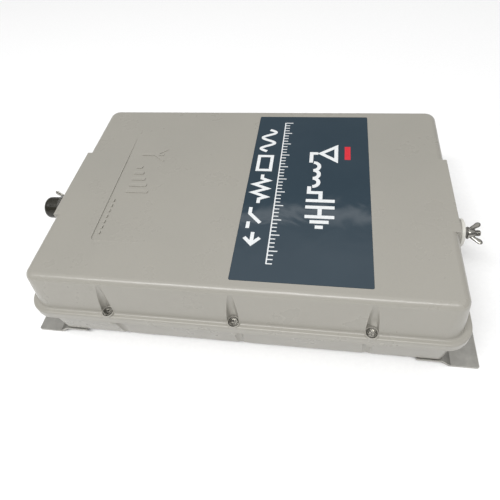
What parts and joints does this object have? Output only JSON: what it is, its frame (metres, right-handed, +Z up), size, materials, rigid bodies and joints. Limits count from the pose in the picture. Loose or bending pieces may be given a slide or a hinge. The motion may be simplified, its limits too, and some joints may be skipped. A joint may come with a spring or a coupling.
{
  "type": "antenna tuner",
  "caption": "Weatherproof two-part moulded antenna tuner box on joggled steel mounting strips, with end terminals and a cable gland.",
  "frame": {"origin": "middle of the mounting pattern on the mounting plane, under the middle of the case", "axes": "+X along the case towards the antenna terminal, +Y across it to the back long side, +Z up through the label"},
  "size_m": [0.3938, 0.24, 0.0923],
  "materials": {
    "case_plastic": "fine moulded grain, warm grey",
    "label_film": "printed polyester film, satin gloss",
    "seal_rubber": "black elastomer",
    "stainless_steel": "turned stainless steel",
    "strip_steel": "rolled stainless sheet",
    "brass_parts": "drawn brass",
    "insulator": "off-white moulded insulator",
    "blue_ceramic": "lacquered ceramic",
    "gland_nylon": "olive-black nylon",
    "chassis_aluminium": "passivated sheet",
    "board_laminate": "glass-epoxy laminate with green solder resist",
    "relay_case": "moulded relay case",
    "chip_plastic": "moulded epoxy",
    "terminal_plastic": "moulded nylon",
    "core_ferrite": "sintered ferrite",
    "copper_wire": "enamelled copper",
    "capacitor_sleeve": "shrunk sleeve",
    "tin_plate": "tinned or nickel plated",
    "fuse_glass": "clear glass tube"
  },
  "bodies": {
    "enclosure": {"antenna_fork_contact": "brass_parts", "base_shell": "case_plastic", "board_standoffs": "brass_parts", "cable_clamp": "chassis_aluminium", "chassis_plate": "chassis_aluminium", "coax_dielectric": "insulator", "coax_socket": "tin_plate", "coil_formers": "insulator", "coil_windings": "copper_wire", "control_board": "board_laminate", "control_chips": "chip_plastic", "control_terminal_block": "terminal_plastic", "cover_gasket": "seal_rubber", "cover_screw_inserts": "brass_parts", "detector_screen": "tin_plate", "fuse_clips": "brass_parts", "fuse_link": "fuse_glass", "ground_fork_contact": "brass_parts", "high_voltage_capacitors": "blue_ceramic", "inductor_cores": "core_ferrite", "inductor_windings": "copper_wire", "left_mounting_strip": "strip_steel", "right_mounting_strip": "strip_steel", "small_screws": "stainless_steel", "smoothing_capacitors": "capacitor_sleeve", "strip_inserts": "brass_parts", "strip_screws": "stainless_steel", "surge_arrester": "tin_plate", "switching_relays": "relay_case", "transformer_core": "core_ferrite", "transformer_winding": "copper_wire", "tuner_board": "board_laminate"},
    "cover": {"antenna_contact_blade": "brass_parts", "antenna_inner_bush": "insulator", "antenna_inner_nut": "stainless_steel", "antenna_insulator": "insulator", "antenna_lock_nut": "stainless_steel", "antenna_seal_ring": "seal_rubber", "antenna_stud": "stainless_steel", "cover_label": "label_film", "cover_screw_seals": "seal_rubber", "cover_screws": "stainless_steel", "cover_shell": "case_plastic", "gland_body": "gland_nylon", "gland_grommet": "seal_rubber", "gland_locknut": "gland_nylon", "gland_seal_ring": "seal_rubber", "ground_contact_blade": "brass_parts", "ground_inner_nuts": "stainless_steel", "ground_post": "stainless_steel", "ground_seal_washer": "seal_rubber", "ground_stud": "stainless_steel", "terminal_flat_washers": "stainless_steel"},
    "antenna_clamp": {"antenna_clamp_washer": "stainless_steel"},
    "antenna_wing": {"antenna_wing_nut": "stainless_steel"},
    "ground_clamp": {"ground_clamp_washer": "stainless_steel"},
    "ground_wing": {"ground_wing_nut": "stainless_steel"},
    "gland_ring": {"gland_slip_ring": "gland_nylon"},
    "gland_nut": {"gland_dome_nut": "gland_nylon"}
  },
  "joints": [
    {"name": "cover_lift", "type": "slide", "parent": "enclosure", "child": "cover", "axis": [0, 0, 1], "range_m": [0, 0.09]},
    {"name": "antenna_clamp_travel", "type": "slide", "parent": "cover", "child": "antenna_clamp", "axis": [1, 0, 0], "range_m": [0, 0.0016]},
    {"name": "antenna_wing_turn", "type": "hinge", "parent": "antenna_clamp", "child": "antenna_wing", "pos_m": [0.1826, -0.0255, 0.0705], "axis": [1, 0, 0], "range_deg": [0, 720]},
    {"name": "ground_clamp_travel", "type": "slide", "parent": "cover", "child": "ground_clamp", "axis": [-1, 0, 0], "range_m": [0, 0.0016]},
    {"name": "ground_wing_turn", "type": "hinge", "parent": "ground_clamp", "child": "ground_wing", "pos_m": [-0.1883, 0.001, 0.0626], "axis": [-1, 0, 0], "range_deg": [0, 720]},
    {"name": "gland_ring_travel", "type": "slide", "parent": "cover", "child": "gland_ring", "axis": [-1, 0, 0], "range_m": [0, 0.003]},
    {"name": "gland_nut_turn", "type": "hinge", "parent": "gland_ring", "child": "gland_nut", "pos_m": [-0.1906, -0.019, 0.073], "axis": [-1, 0, 0], "range_deg": [0, 720]}
  ],
  "couplings": [
    {"joint": "antenna_wing_turn", "follows": "antenna_clamp_travel", "rad_per_m": 7854},
    {"joint": "ground_wing_turn", "follows": "ground_clamp_travel", "rad_per_m": 7854},
    {"joint": "gland_nut_turn", "follows": "gland_ring_travel", "rad_per_m": 4188.8}
  ]
}
